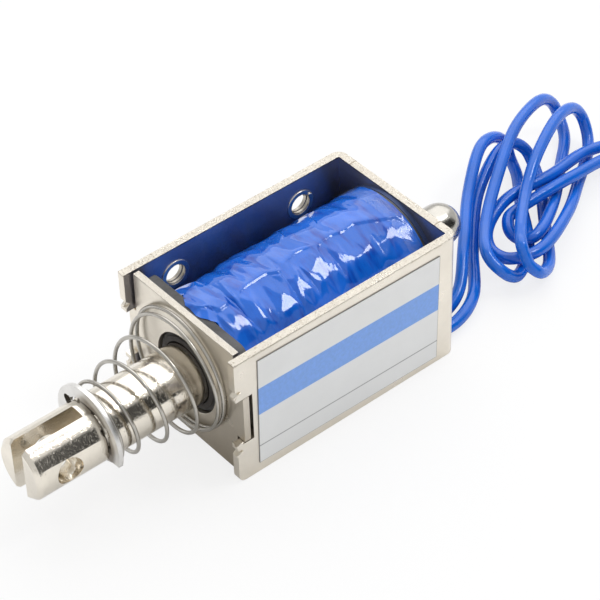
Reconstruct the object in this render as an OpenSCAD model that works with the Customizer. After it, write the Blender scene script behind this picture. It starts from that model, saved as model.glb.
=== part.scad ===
// Push pull solenoid with an open frame: frame, coil, plunger, spring and two leads.
// Millimetres. Front (slotted end of the plunger) is -Y, up is +Z,
// origin on the base plane under the middle of the frame.

/* [Frame] */
// Length of the frame along the plunger
frame_l = 30; // [27:0.5:40]
// Width of the frame over both side walls
frame_w = 18.85; // [17:0.05:24]
// Height of the frame
frame_h = 16.48; // [16:0.02:22]
// Sheet thickness of the frame
wall = 0.95; // [0.8:0.05:1.4]
// Outside bend radius at the rear corners
bend_r = 1.2; // [1:0.1:1.6]
// How far the plate sits behind the front edges of the walls
plate_recess = 0.95; // [0.6:0.05:1.4]
// Thickness of the front plate
plate_t = 0.8; // [0.6:0.05:1.2]
// Gap between the plate and each side wall
plate_gap = 0.35; // [0.1:0.05:0.6]
// Height of the plate tabs that sit in the wall notches
tab_h = 6; // [4:0.2:8]
// Clearance around a tab in its notch
tab_clear = 0.1; // [0.05:0.05:0.3]
// Slit left behind each tab
tab_slit = 0.4; // [0.2:0.05:0.8]
// Depth of the staking dents beside the notches
stake_d = 0.5; // [0.2:0.1:0.8]

/* [Mounting holes] */
// Distance between the two tapped holes
hole_pitch = 17; // [12:0.5:20]
// Height of the tapped holes above the base
hole_z = 12.9; // [4:0.1:13]
// Tapping size of the holes
hole_d = 2.5; // [2:0.1:3]
// Outside diameter of the raised rim inside each hole
rim_d = 3.5; // [3:0.1:4.4]
// Height of that rim
rim_h = 0.12; // [0.05:0.01:0.15]

/* [Plunger] */
// Plunger diameter
plunger_d = 7; // [5:0.1:8]
// Radial clearance of the plunger in the bobbin
plunger_clear = 0.1; // [0.02:0.01:0.15]
// Plunger length in front of the frame plate at rest
plunger_out = 20.95; // [16:0.05:24]
// Plunger length behind the outer face of the plate at rest
plunger_in = 10.05; // [8:0.05:12]
// Length of the cone at the inner end
pole_cone = 2; // [1:0.1:3]
// Chamfer at the outer tip
tip_chamfer = 0.45; // [0.2:0.05:0.8]
// Width of the slot in the plunger
slot_w = 1.9; // [1:0.1:3]
// Depth of the slot
slot_depth = 7.45; // [5:0.05:9]
// Diameter of the cross hole for the pin
cross_d = 3.1; // [2:0.1:4]
// Distance of the cross hole from the tip
cross_back = 3.8; // [3:0.1:5]
// Stroke
stroke = 10; // [4:0.5:10]

/* [Retaining clip and spring] */
// Thickness of the clip
clip_t = 0.5; // [0.4:0.05:0.8]
// Outside diameter of the clip
clip_d = 10.3; // [9:0.1:12]
// Diameter of the groove in the plunger
groove_d = 5.8; // [5:0.1:6.4]
// Side clearance of the clip in its groove
groove_side = 0.05; // [0.02:0.01:0.15]
// Distance from the slot floor to the front face of the clip
clip_behind_slot = 1.05; // [0.6:0.05:2]
// Wire diameter of the return spring
spring_wire = 0.48; // [0.3:0.02:0.8]
// Mean radius of the spring at the frame plate
spring_big_r = 7.55; // [5:0.05:8]
// Mean radius of the spring at the clip
spring_small_r = 4.35; // [4:0.05:5]

/* [Coil] */
// Wall of the bobbin tube
bobbin_wall = 0.6; // [0.4:0.05:0.9]
// Gap between the front flange and each side wall
flange_side = 0.575; // [0.3:0.025:1]
// Distance of the front flange from the base and from the top of the frame
flange_edge = 0.69; // [0.3:0.01:1.2]
// Thickness of the front flange
flange_t = 1; // [0.8:0.1:1.5]
// Corner radius of the front flange
flange_r = 1.3; // [0.5:0.1:3]
// Gap between the finished coil and each side wall
coil_side = 0.425; // [0.3:0.025:1]
// Least gap between the finished coil and the base
coil_base = 0.19; // [0.16:0.01:1]
// Thickness of the outer tape wrap
tape_t = 0.35; // [0.1:0.05:0.6]
// Thickness of the inner insulation layer
layer_t = 0.15; // [0.1:0.05:0.4]
// Play between neighbouring wound layers
wrap_gap = 0.05; // [0.02:0.01:0.1]
// Thickness of the clear film at the rear end
film_t = 0.12; // [0.05:0.01:0.15]
// Length of the clear film
film_l = 1.5; // [0.5:0.1:4]
// Thickness of the insulating washer at the rear wall
washer_t = 0.5; // [0.3:0.05:1]

/* [Core and push pin] */
// Depth of the pin's seat in the plunger cone
pin_seat = 1.5; // [1:0.1:3]
// Clearance of the core in the bobbin
core_clear = 0.05; // [0.02:0.01:0.2]
// Diameter of the riveted spigot in the rear wall
spigot_d = 5.6; // [4:0.1:6]
// Pin diameter
pin_d = 3; // [2:0.1:4]
// Radial clearance of the pin in the core
pin_clear = 0.08; // [0.02:0.01:0.15]
// Diameter of the domed push head
head_d = 4.9; // [4:0.1:6]
// Length of the head from shoulder to pole
head_l = 8.4; // [5:0.1:12]
// Gap between the head and the core at rest
head_gap = 0.05; // [0.02:0.01:0.2]

/* [Label and leads] */
// Label length
label_l = 24.5; // [10:0.5:26]
// Label height
label_h = 14.2; // [8:0.1:15]
// Label thickness
label_t = 0.1; // [0.05:0.05:0.2]
// Tilt of the label in degrees
label_tilt = 1.1; // [0:0.1:3]
// Outside diameter of a lead
lead_d = 1.4; // [1:0.1:2]
// Diameter of the tinned strands at a lead end
strand_d = 0.6; // [0.3:0.05:0.9]
// Stripped length at a lead end
strip_l = 5; // [2:0.5:8]
// Gap beside the leads in the notch of the rear wall
lead_side = 0.3; // [0.1:0.05:1]
// Gap above the leads in that notch
lead_over = 0.5; // [0.2:0.1:1.5]
// Length of a soldered joint
joint_l = 3.5; // [2:0.5:6]
// Diameter of a soldered joint
joint_d = 1; // [0.7:0.1:1.3]
// Diameter of the coil wire ends
magnet_wire = 0.4; // [0.2:0.05:0.6]

/* [Hidden] */
$fn = 64;
axis_z = frame_h / 2;
front_y = -frame_l / 2;
rear_in = frame_l / 2 - wall;
plate_y = front_y + plate_recess;
half_in = frame_w / 2 - wall;
notch_h = tab_h + 2 * tab_clear;
notch_d = plate_recess + plate_t + tab_slit;
bore_r = plunger_d / 2 + plunger_clear;
tube_r = bore_r + bobbin_wall;
collar_r = tube_r + 0.4;
flange_y = plate_y + plate_t + 0.35;
flange_w = 2 * (half_in - flange_side);
flange_h = frame_h - 2 * flange_edge;
coil_r = min(half_in - coil_side, axis_z - coil_base);
coil_y0 = flange_y + flange_t + 0.15;
washer_y = rear_in - washer_t;
rear_flange_t = 0.6;
rear_flange_y = washer_y - rear_flange_t;
coil_len = rear_flange_y - 0.05 - coil_y0;
tape_in = coil_r - tape_t;
layer_in = tape_in - wrap_gap - layer_t;
wire_out = layer_in - wrap_gap;
tip_y = plate_y - plunger_out;
inner_y = plate_y + plunger_in;
slot_floor = tip_y + slot_depth;
clip_y = slot_floor + clip_behind_slot;
cross_y = tip_y + cross_back;
core_y = inner_y + stroke + 0.1;
core_r = bore_r - core_clear;
cone_tip_r = 1.9;
head_y = frame_l / 2 + head_gap;
pin_r = pin_d / 2;
// spring: turn number, height in front of the plate, mean radius
turns = [-0.5, 0, 0.5, 1, 1.5, 2, 2.5, 3, 3.5, 4, 4.5, 5, 5.5];
spring_l = plate_y - clip_y - clip_t;
lift = [0, 0.012, 0.045, 0.082, 0.18, 0.318, 0.46, 0.602, 0.745, 0.87, 0.956, 0.98, 1];
cone = [1, 1, 1, 0.93, 0.76, 0.57, 0.41, 0.27, 0.15, 0.07, 0.02, 0, 0];
// lead routes
route_a = [
  [5, 12.5, 1], [5, 17.5, 1], [4.2, 20.2, 1.8], [0.6, 24.3, 3.7], [-4.8, 30, 4.8],
  [-8.8, 35.7, 6.2], [-10, 39.3, 4.8], [-9.8, 40.6, 3.3], [-9, 40.7, 1.5],
  [-7.1, 39.9, 0.8], [-3.1, 36.7, 0.8], [2.9, 32.2, 0.7], [6.3, 27.3, 1.4],
  [6.5, 25.9, 2.2], [6, 24.9, 3.3], [4.8, 24.6, 4], [3.7, 24.8, 4.6],
  [0.2, 28, 4.6], [-4.4, 34.3, 5.8], [-8.2, 40.7, 6.9], [-10.7, 47.2, 5.8],
  [-10.9, 49.3, 4], [-10, 49.7, 2.1], [-8.1, 48.7, 1], [-4.9, 44.9, 0.7],
  [0.4, 38.5, 1.9], [3.4, 33.5, 2.5], [3.6, 32.2, 2.4], [3, 31.3, 2.2],
  [2.3, 30.8, 2.3], [1.4, 30.7, 2.6], [0.5, 31.2, 2.9], [-0.3, 32.2, 3],
  [-0.4, 34.7, 3.2], [-0.4, 42.4, 3.2], [-0.7, 50.2, 1.9], [3.3, 56.7, 1],
  [8.4, 58.2, 1], [13, 55.5, 0.7], [15.5, 48.5, 0.7]];
route_b = [
  [7, 12.5, 1], [7, 17.5, 1], [5.3, 21.4, 1.1], [-0.2, 26.5, 1.6], [-5.2, 31.9, 3.3],
  [-7.7, 37.3, 5], [-8.1, 40.3, 4.5], [-7.5, 41.7, 3.1], [-6.2, 41.8, 1.5],
  [-4.2, 40.8, 0.8], [0.7, 36.8, 0.7], [6.7, 31.7, 0.9], [8.3, 29, 2.1],
  [8.4, 28, 3], [7.8, 27.5, 3.7], [6.9, 27.6, 4.5], [6.2, 27.7, 5.5],
  [3.5, 30.2, 5], [-0.7, 35, 4.7], [-3.2, 39, 6.1], [-6.3, 45.5, 6.7],
  [-7.5, 49.3, 5.3], [-7.3, 50.6, 3.5], [-6.1, 50.4, 1.8], [-4.5, 49, 0.9],
  [-1.2, 44.2, 0.9], [3.1, 38, 2.3], [5.8, 31.5, 2.7], [5.5, 28.8, 2.7],
  [4.2, 27.3, 2.5], [2.1, 27.1, 2.5], [-0.5, 29, 2.7], [-2.2, 33.4, 3.5],
  [-2, 40.3, 3.5], [-3.1, 47.6, 2.5], [-1.2, 54.7, 1.5], [2.2, 59.6, 0.8],
  [8.2, 61, 0.7], [14.9, 57.8, 0.7], [18, 51.5, 0.7]];

notch_x0 = route_a[0][0] - lead_d / 2 - lead_side;
notch_x1 = route_b[0][0] + lead_d / 2 + lead_side;
notch_top = route_a[0][2] + lead_d / 2 + lead_over;

function unit(v) = v / norm(v);

// turn a shape that stands on +Z so that it points along +Y from y on the plunger axis
module along(y, z = axis_z) translate([0, y, z]) rotate([-90, 0, 0]) children();

module ring(y, len, ro, ri) along(y) difference() {
  cylinder(r = ro, h = len);
  translate([0, 0, -1]) cylinder(r = ri, h = len + 2);
}

// round wire swept along points, with mitred rings
module tube(pts, r, sides = 8) {
  n = len(pts);
  dirs = [for (i = [0:n - 1]) unit(pts[min(i + 1, n - 1)] - pts[max(i - 1, 0)])];
  side0 = unit(cross(dirs[0], [0.1, 0.2, 1]));
  frames = sweep_frames(dirs, side0, n);
  rings = [for (i = [0:n - 1], k = [0:sides - 1])
    pts[i] + r * (cos(360 * k / sides) * frames[i] + sin(360 * k / sides) * cross(dirs[i], frames[i]))];
  faces = concat(
    [[for (k = [0:sides - 1]) k]],
    [for (i = [0:n - 2], k = [0:sides - 1]) each [
      [i * sides + k, (i + 1) * sides + k, (i + 1) * sides + (k + 1) % sides],
      [i * sides + k, (i + 1) * sides + (k + 1) % sides, i * sides + (k + 1) % sides]]],
    [[for (k = [sides - 1:-1:0]) (n - 1) * sides + k]]);
  polyhedron(rings, faces, convexity = 10);
}

function sweep_frames(dirs, side0, n) =
  [for (i = 0, s = side0; i < n; i = i + 1,
    s = i < n ? unit(s - (s * dirs[i]) * dirs[i]) : s) s];

module frame_plan() {
  w = frame_w / 2;
  difference() {
    union() {
      translate([-w, front_y]) square([frame_w, frame_l - bend_r]);
      translate([-w + bend_r, front_y]) square([frame_w - 2 * bend_r, frame_l]);
      for (s = [-1, 1]) translate([s * (w - bend_r), frame_l / 2 - bend_r]) circle(bend_r);
    }
    translate([-half_in, front_y - 1]) square([2 * half_in, frame_l - wall + 1]);
  }
}

// bent steel frame: two side walls and the rear wall
module frame() color("gainsboro") {
  difference() {
    union() {
      linear_extrude(frame_h) frame_plan();
      for (s = [-1, 1]) translate([-half_in - 0.05, s * hole_pitch / 2, hole_z])
        rotate([0, 90, 0]) cylinder(d = rim_d, h = rim_h + 0.05);
    }
    // notches for the plate tabs
    translate([-frame_w, front_y - 1, axis_z + 0.06 - notch_h / 2])
      cube([2 * frame_w, notch_d + 1, notch_h]);
    // tapped holes in the far wall
    for (s = [-1, 1]) translate([-frame_w / 2 - 1, s * hole_pitch / 2, hole_z])
      rotate([0, 90, 0]) cylinder(d = hole_d, h = wall + 2);
    // hole for the core spigot
    along(rear_in - 1) cylinder(d = spigot_d, h = wall + 2);
    // notch where the leads come out
    translate([notch_x0, rear_in - 1, -1]) cube([notch_x1 - notch_x0, wall + 2, notch_top + 1]);
    // staking dents beside the notches
    for (s = [-1, 1], z = [axis_z - notch_h / 2 - 1, axis_z + notch_h / 2 + 1])
      translate([s * (frame_w - wall) / 2, front_y, z]) rotate([0, 90, 0])
        linear_extrude(wall + 1, center = true)
          polygon([[-0.5, -0.01], [0.5, -0.01], [0, stake_d]]);
  }
}

// steel plate that closes the front of the frame
module front_plate() color("wheat") difference() {
  union() {
    translate([-half_in + plate_gap, plate_y, 0])
      cube([2 * (half_in - plate_gap), plate_t, frame_h]);
    translate([-frame_w / 2, plate_y, axis_z + 0.06 - tab_h / 2]) cube([frame_w, plate_t, tab_h]);
  }
  along(plate_y - 1) cylinder(r = collar_r + 0.1, h = plate_t + 2);
}

// moulded bobbin: tube, front flange with stepped collar, rear flange
module bobbin() color("dimgray") {
  w = flange_w / 2 - flange_r;
  h = flange_h / 2 - flange_r;
  difference() {
    union() {
      along(plate_y + 0.1) cylinder(r = tube_r, h = washer_y - plate_y - 0.1);
      along(plate_y + 0.45) cylinder(r = collar_r, h = flange_y - plate_y);
      translate([0, flange_y, axis_z]) rotate([-90, 0, 0]) {
        linear_extrude(flange_t) {
          square([2 * w, flange_h], center = true);
          square([flange_w, 2 * h], center = true);
          for (x = [-w, w], y = [-h, h]) translate([x, y]) circle(flange_r);
        }
      }
      along(rear_flange_y) cylinder(r = coil_r - 0.05, h = rear_flange_t);
    }
    along(plate_y - 1) cylinder(r = bore_r, h = frame_l);
  }
}

module winding() color("peru") ring(coil_y0, coil_len, wire_out, tube_r + wrap_gap);

module inner_layer() color("khaki") ring(coil_y0, coil_len, tape_in - wrap_gap, layer_in);

module tape_wrap() color("royalblue") ring(coil_y0, coil_len, coil_r, tape_in);

module clear_film() color("lightblue")
  ring(coil_y0 + coil_len - film_l, film_l, coil_r + 0.02 + film_t, coil_r + 0.02);

module rear_washer() color("darkslategray") ring(washer_y, washer_t, coil_r, bore_r + 0.1);

// fixed core, riveted into the rear wall, with the conical seat for the plunger
module fixed_core() color("silver") {
  seat_r = plunger_d / 2 - 0.9;
  difference() {
    union() {
      along(core_y) cylinder(r = core_r, h = rear_in - core_y);
      along(rear_in - 0.5) cylinder(d = spigot_d - 0.04, h = wall + 0.5);
    }
    along(core_y - 0.01) cylinder(r1 = seat_r + 0.15, r2 = cone_tip_r + 0.15, h = pole_cone + 0.11);
    along(core_y - 1) cylinder(r = pin_r + pin_clear, h = frame_l);
  }
}

// turned pin with the domed head that pushes
module push_pin() color("lightgray") {
  y0 = inner_y + pole_cone - pin_seat;
  along(y0) rotate_extrude() {
    square([pin_r, head_y - y0 + head_d / 4]);
    translate([0, head_y - y0]) square([head_d / 2, head_l - head_d / 2]);
    translate([0, head_y - y0 + head_l - head_d / 2]) intersection() {
      circle(d = head_d);
      square(head_d);
    }
  }
}

// plunger with slot, cross hole, clip groove and conical inner end
module plunger() color("antiquewhite") {
  r = plunger_d / 2;
  len = plunger_out + plunger_in;
  along(tip_y) difference() {
    rotate_extrude() polygon([
      [0, 0], [r - tip_chamfer, 0], [r, tip_chamfer],
      [r, clip_y - groove_side - tip_y], [groove_d / 2, clip_y - groove_side - tip_y],
      [groove_d / 2, clip_y + clip_t + groove_side - tip_y],
      [r, clip_y + clip_t + groove_side - tip_y],
      [r, len - 0.3], [r - 0.3, len], [r - 0.9, len], [cone_tip_r, len + pole_cone],
      [0, len + pole_cone]]);
    // slot, open at the tip, standing upright
    translate([-slot_w / 2, -r - 1, -1]) cube([slot_w, 2 * r + 2, slot_depth + 1]);
    // cross hole
    translate([-r - 1, 0, cross_back]) rotate([0, 90, 0]) cylinder(d = cross_d, h = 2 * r + 2);
    // seat of the push pin
    translate([0, 0, len + pole_cone - pin_seat]) cylinder(r = pin_r, h = pin_seat + 1);
  }
}

// stamped retaining clip, open at the bottom
module retaining_clip() color("lightgrey") {
  ro = clip_d / 2;
  ri = plunger_d / 2 + 0.3;
  translate([0, clip_y + clip_t, axis_z]) rotate([90, 0, 0]) linear_extrude(clip_t) difference() {
    union() {
      difference() {
        circle(ro);
        circle(ri);
      }
      intersection() {
        circle(ro - 0.2);
        for (a = [90, -28, 208]) rotate(a) translate([groove_d / 2, -1]) square([3, 2]);
      }
    }
    circle(groove_d / 2 + 0.01);
    translate([-groove_d / 2 + 0.6, -ro - 1]) square([groove_d - 1.2, ro + 1]);
    for (s = [-1, 1]) rotate(90 + s * 58) translate([ri + 0.1, 0]) circle(0.55);
  }
}

// conical return spring between the plate and the clip
module return_spring() color("silver") {
  steps = 144;
  pts = [for (i = [0:steps])
    let (k = turns[0] + (turns[12] - turns[0]) * i / steps,
      r = spring_small_r + (spring_big_r - spring_small_r) * lookup(k, [for (j = [0:12]) [turns[j], cone[j]]]),
      f = lookup(k, [for (j = [0:12]) [turns[j], lift[j]]]),
      a = 90 + 360 * k)
    [r * cos(a), plate_y - spring_wire / 2 - 0.01 - f * (spring_l - spring_wire - 0.02),
      axis_z + r * sin(a)]];
  tube(pts, spring_wire / 2);
}

// label on the near wall
module label() color("whitesmoke")
  translate([frame_w / 2, 0, axis_z - 0.1]) rotate([-label_tilt, 0, 0])
    translate([0, -label_l / 2, -label_h / 2]) cube([label_t, label_l, label_h]);

// soldered joints between the leads and the coil wire
module lead_joints() color("silver")
  for (p = [route_a[0], route_b[0]]) translate([p[0], p[1] - joint_l, p[2]]) rotate([-90, 0, 0])
    cylinder(d = joint_d, h = joint_l);

// coil wire ends that run from the joints to the winding
module coil_ends() color("peru")
  for (p = [route_a[0], route_b[0]]) translate([p[0], p[1] - joint_l, p[2]]) rotate([90, 0, 0])
    cylinder(d = magnet_wire, h = p[1] - joint_l - flange_y - flange_t, $fn = 24);

module lead(route) tube(route, lead_d / 2);

module lead_tip(route) {
  n = len(route);
  d = unit(route[n - 1] - route[n - 2]);
  a = atan2(d[1], d[0]);
  translate(route[n - 1]) rotate([0, 90, a]) cylinder(d = strand_d, h = strip_l, $fn = 24);
}

module lead_a() color("mediumblue") lead(route_a);
module lead_b() color("mediumblue") lead(route_b);
module lead_tip_a() color("silver") lead_tip(route_a);
module lead_tip_b() color("silver") lead_tip(route_b);

frame();
front_plate();
bobbin();
winding();
inner_layer();
tape_wrap();
clear_film();
rear_washer();
fixed_core();
push_pin();
plunger();
retaining_clip();
return_spring();
label();
lead_joints();
coil_ends();
lead_a();
lead_b();
lead_tip_a();
lead_tip_b();
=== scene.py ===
import math
from contextlib import contextmanager

import bmesh
import bpy
import numpy as np
from bpy.props import FloatProperty, FloatVectorProperty, PointerProperty
from mathutils import Matrix, Vector, noise
from mathutils.geometry import delaunay_2d_cdt


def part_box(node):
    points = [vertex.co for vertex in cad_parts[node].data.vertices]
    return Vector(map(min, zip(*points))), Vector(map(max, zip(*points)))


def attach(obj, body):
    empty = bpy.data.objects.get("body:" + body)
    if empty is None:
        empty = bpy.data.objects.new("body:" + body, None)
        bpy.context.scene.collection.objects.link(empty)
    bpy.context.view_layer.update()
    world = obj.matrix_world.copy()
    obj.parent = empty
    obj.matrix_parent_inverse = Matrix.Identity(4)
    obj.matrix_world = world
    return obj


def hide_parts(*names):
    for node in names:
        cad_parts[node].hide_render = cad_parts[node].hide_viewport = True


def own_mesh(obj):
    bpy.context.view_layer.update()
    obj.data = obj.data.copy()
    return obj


bl_info = {
    "name": "Push Pull Solenoid",
    "version": (1, 0, 0),
    "blender": (4, 5, 0),
    "location": "View3D > Sidebar > Solenoid",
    "description": "Dresses an open-frame push pull solenoid around its packed solids",
    "category": "Add Mesh",
}

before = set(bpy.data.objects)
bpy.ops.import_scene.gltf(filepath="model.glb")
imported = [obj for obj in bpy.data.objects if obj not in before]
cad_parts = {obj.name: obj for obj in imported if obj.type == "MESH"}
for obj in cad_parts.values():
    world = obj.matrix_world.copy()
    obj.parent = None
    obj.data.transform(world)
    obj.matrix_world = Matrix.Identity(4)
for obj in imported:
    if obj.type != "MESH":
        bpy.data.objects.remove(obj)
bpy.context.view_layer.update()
MM = 0.001

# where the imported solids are, in metres
FRAME_LOW, FRAME_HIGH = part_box("frame")
PLATE_LOW, PLATE_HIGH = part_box("front_plate")
CLIP_LOW, CLIP_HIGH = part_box("retaining_clip")
LABEL_LOW, LABEL_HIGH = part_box("label")
PLUNGER_LOW, PLUNGER_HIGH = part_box("plunger")
AXIS_Z = (PLUNGER_LOW.z + PLUNGER_HIGH.z) / 2
# the sheet that the frame is bent from
SHEET = 0.95 * MM

# the leads' routes, in millimetres, as in the solid model
LEAD_A = [
    (5, 12.5, 1), (5, 17.5, 1), (4.2, 20.2, 1.8), (0.6, 24.3, 3.7), (-4.8, 30, 4.8),
    (-8.8, 35.7, 6.2), (-10, 39.3, 4.8), (-9.8, 40.6, 3.3), (-9, 40.7, 1.5),
    (-7.1, 39.9, 0.8), (-3.1, 36.7, 0.8), (2.9, 32.2, 0.7), (6.3, 27.3, 1.4),
    (6.5, 25.9, 2.2), (6, 24.9, 3.3), (4.8, 24.6, 4), (3.7, 24.8, 4.6),
    (0.2, 28, 4.6), (-4.4, 34.3, 5.8), (-8.2, 40.7, 6.9), (-10.7, 47.2, 5.8),
    (-10.9, 49.3, 4), (-10, 49.7, 2.1), (-8.1, 48.7, 1), (-4.9, 44.9, 0.7),
    (0.4, 38.5, 1.9), (3.4, 33.5, 2.5), (3.6, 32.2, 2.4), (3, 31.3, 2.2),
    (2.3, 30.8, 2.3), (1.4, 30.7, 2.6), (0.5, 31.2, 2.9), (-0.3, 32.2, 3),
    (-0.4, 34.7, 3.2), (-0.4, 42.4, 3.2), (-0.7, 50.2, 1.9), (3.3, 56.7, 1),
    (8.4, 58.2, 1), (13, 55.5, 0.7), (15.5, 48.5, 0.7),
]
LEAD_B = [
    (7, 12.5, 1), (7, 17.5, 1), (5.3, 21.4, 1.1), (-0.2, 26.5, 1.6), (-5.2, 31.9, 3.3),
    (-7.7, 37.3, 5), (-8.1, 40.3, 4.5), (-7.5, 41.7, 3.1), (-6.2, 41.8, 1.5),
    (-4.2, 40.8, 0.8), (0.7, 36.8, 0.7), (6.7, 31.7, 0.9), (8.3, 29, 2.1),
    (8.4, 28, 3), (7.8, 27.5, 3.7), (6.9, 27.6, 4.5), (6.2, 27.7, 5.5),
    (3.5, 30.2, 5), (-0.7, 35, 4.7), (-3.2, 39, 6.1), (-6.3, 45.5, 6.7),
    (-7.5, 49.3, 5.3), (-7.3, 50.6, 3.5), (-6.1, 50.4, 1.8), (-4.5, 49, 0.9),
    (-1.2, 44.2, 0.9), (3.1, 38, 2.3), (5.8, 31.5, 2.7), (5.5, 28.8, 2.7),
    (4.2, 27.3, 2.5), (2.1, 27.1, 2.5), (-0.5, 29, 2.7), (-2.2, 33.4, 3.5),
    (-2, 40.3, 3.5), (-3.1, 47.6, 2.5), (-1.2, 54.7, 1.5), (2.2, 59.6, 0.8),
    (8.2, 61, 0.7), (14.9, 57.8, 0.7), (18, 51.5, 0.7),
]


# ---------------------------------------------------------------- settings

def colour_value(name, description, colour):
    return FloatVectorProperty(name=name, description=description, subtype="COLOR",
                               default=colour, min=0, max=1)


def length_value(name, description, length, low, high):
    """A length, given in millimetres."""
    return FloatProperty(name=name, description=description, unit="LENGTH",
                         default=length * MM, min=low * MM, max=high * MM)


def light_value(name, description, strength, high):
    return FloatProperty(name=name, description=description, default=strength, min=0, max=high)


class SolenoidStageSettings(bpy.types.PropertyGroup):
    panel_strength: light_value(
        "Overhead panel", "Radiance of the wide panel above the part", 1.15, 20)
    lamp_strength: light_value(
        "Bright lamp", "Radiance of the small bright lamp behind the part", 11.5, 80)
    surround: light_value("Surround", "Brightness of the room around the part", 0.86, 1)
    dark_side: light_value("Dark side", "Brightness of the dark side of the room", 0.03, 1)
    table: colour_value("Table", "Colour of the table", (0.90, 0.90, 0.90))


class SolenoidMetalSettings(bpy.types.PropertyGroup):
    nickel: colour_value("Nickel plate", "Colour of the plated frame and plunger", (0.84, 0.785, 0.69))
    # the inner faces' colour is a darker nickel that stands in as painted shade
    inside: colour_value("Inside of the frame", "Colour of its dull inner faces, darkened as painted shade", (0.46, 0.45, 0.49))
    wire: colour_value("Spring wire", "Colour of the spring wire", (0.50, 0.48, 0.44))
    edge_round: length_value(
        "Edge rounding", "Radius worn onto the edges of the stamped parts", 0.07, 0, 0.5)


class SolenoidTapeSettings(bpy.types.PropertyGroup):
    colour: colour_value("Tape", "Colour of the tape round the coil", (0.003, 0.125, 0.62))
    deep: colour_value(
        "Tape in the folds", "Colour of the tape where it lies double", (0.003, 0.055, 0.42))
    crease: length_value("Crease height", "How far the tape's creases stand out or in", 0.12, 0, 0.5)
    lump: length_value("Lump height", "Height of the soft lumps of the coil", 0.10, 0, 0.4)


class SolenoidLabelSettings(bpy.types.PropertyGroup):
    film: colour_value("Label film", "Colour of the bare label", (0.82, 0.825, 0.82))
    band: colour_value("Band", "Colour of the printed band", (0.19, 0.36, 0.78))
    band_height: length_value("Band height", "Height of the printed band", 3.6, 0.5, 8)


class SolenoidLeadSettings(bpy.types.PropertyGroup):
    diameter: length_value("Lead diameter", "Outside diameter of a lead", 1.4, 0.5, 3)
    skin: colour_value("Lead skin", "Colour of the insulation", (0.003, 0.140, 0.69))


# ---------------------------------------------------------------- mesh helpers

def deselect_all():
    for obj in bpy.context.selected_objects:
        obj.select_set(False)


def make_active(obj):
    deselect_all()
    obj.select_set(True)
    bpy.context.view_layer.objects.active = obj


def new_object(name, data):
    obj = bpy.data.objects.new(name, data)
    bpy.context.collection.objects.link(obj)
    return obj


def settle(obj, angle=35):
    """Apply the object's place to its mesh and smooth it by angle."""
    make_active(obj)
    bpy.ops.object.transform_apply(location=True, rotation=True, scale=True)
    bpy.ops.object.shade_smooth_by_angle(angle=math.radians(angle))
    deselect_all()


def apply_modifiers(obj):
    make_active(obj)
    for modifier in list(obj.modifiers):
        bpy.ops.object.modifier_apply(modifier=modifier.name)


def fade(value, length):
    """From 0 to 1 while a value grows from nothing to a length."""
    return min(max(value / length, 0), 1)


@contextmanager
def opened(mesh, merge):
    """The mesh with its doubled points merged, put back with its faces turned outwards."""
    shape = bmesh.new()
    shape.from_mesh(mesh)
    bmesh.ops.remove_doubles(shape, verts=shape.verts, dist=merge)
    yield shape
    bmesh.ops.recalc_face_normals(shape, faces=shape.faces)
    shape.to_mesh(mesh)
    shape.free()


def copy_of(node, name):
    """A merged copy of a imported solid, as the start of a finished piece."""
    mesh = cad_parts[node].data.copy()
    mesh.materials.clear()
    obj = new_object(name, mesh)
    with opened(mesh, 2e-6) as shape:
        bmesh.ops.dissolve_limit(
            shape, angle_limit=math.radians(0.5), verts=shape.verts, edges=shape.edges)
    return obj


def round_edges(obj, width):
    """Round the sharp edges, and keep the flat faces flat in the light."""
    edges = obj.modifiers.new("Edges", "BEVEL")
    edges.width = width
    edges.segments = 2
    edges.limit_method = "ANGLE"
    edges.angle_limit = math.radians(32)
    edges.use_clamp_overlap = True
    apply_modifiers(obj)
    settle(obj)
    even = obj.modifiers.new("Even normals", "WEIGHTED_NORMAL")
    even.weight = 60
    even.keep_sharp = True
    apply_modifiers(obj)


def between(a, b, start, end, t):
    """The place at t on a straight line that is at a at the start and at b at the end."""
    return a * ((end - t) / (end - start)) + b * ((t - start) / (end - start))


def smooth_route(points, steps=8):
    """A smooth line through given points."""
    pts = [Vector(p) for p in points]
    pts = [2 * pts[0] - pts[1]] + pts + [2 * pts[-1] - pts[-2]]
    line = []
    for i in range(1, len(pts) - 2):
        p0, p1, p2, p3 = pts[i - 1:i + 3]
        t0 = 0.0
        t1 = t0 + (p1 - p0).length ** 0.5
        t2 = t1 + (p2 - p1).length ** 0.5
        t3 = t2 + (p3 - p2).length ** 0.5
        for k in range(steps):
            t = t1 + (t2 - t1) * k / steps
            middle = between(p1, p2, t1, t2, t)
            before = between(between(p0, p1, t0, t1, t), middle, t0, t2, t)
            after = between(middle, between(p2, p3, t2, t3, t), t1, t3, t)
            line.append(between(before, after, t1, t2, t))
    line.append(pts[-2])
    return line


def wire_curve(name, line, radius, resolution=4):
    """An open round wire along a line, as a curve."""
    curve = bpy.data.curves.new(name, "CURVE")
    curve.dimensions = "3D"
    curve.bevel_depth = radius
    curve.bevel_resolution = resolution
    curve.use_fill_caps = True
    curve.twist_mode = "MINIMUM"
    spline = curve.splines.new("POLY")
    spline.points.add(len(line) - 1)
    for point, place in zip(spline.points, line):
        point.co = (*place, 1)
    return new_object(name, curve)


def curve_to_mesh(obj):
    make_active(obj)
    bpy.ops.object.convert(target="MESH")
    with opened(obj.data, 1e-7):
        pass
    settle(obj, 50)
    return obj


# ---------------------------------------------------------------- material helpers

def shaded(colour, red, green=None, blue=None):
    """A colour times one share, or times a share for each of its parts."""
    return tuple(c * share for c, share in zip(colour, (red, green or red, blue or red)))


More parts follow.
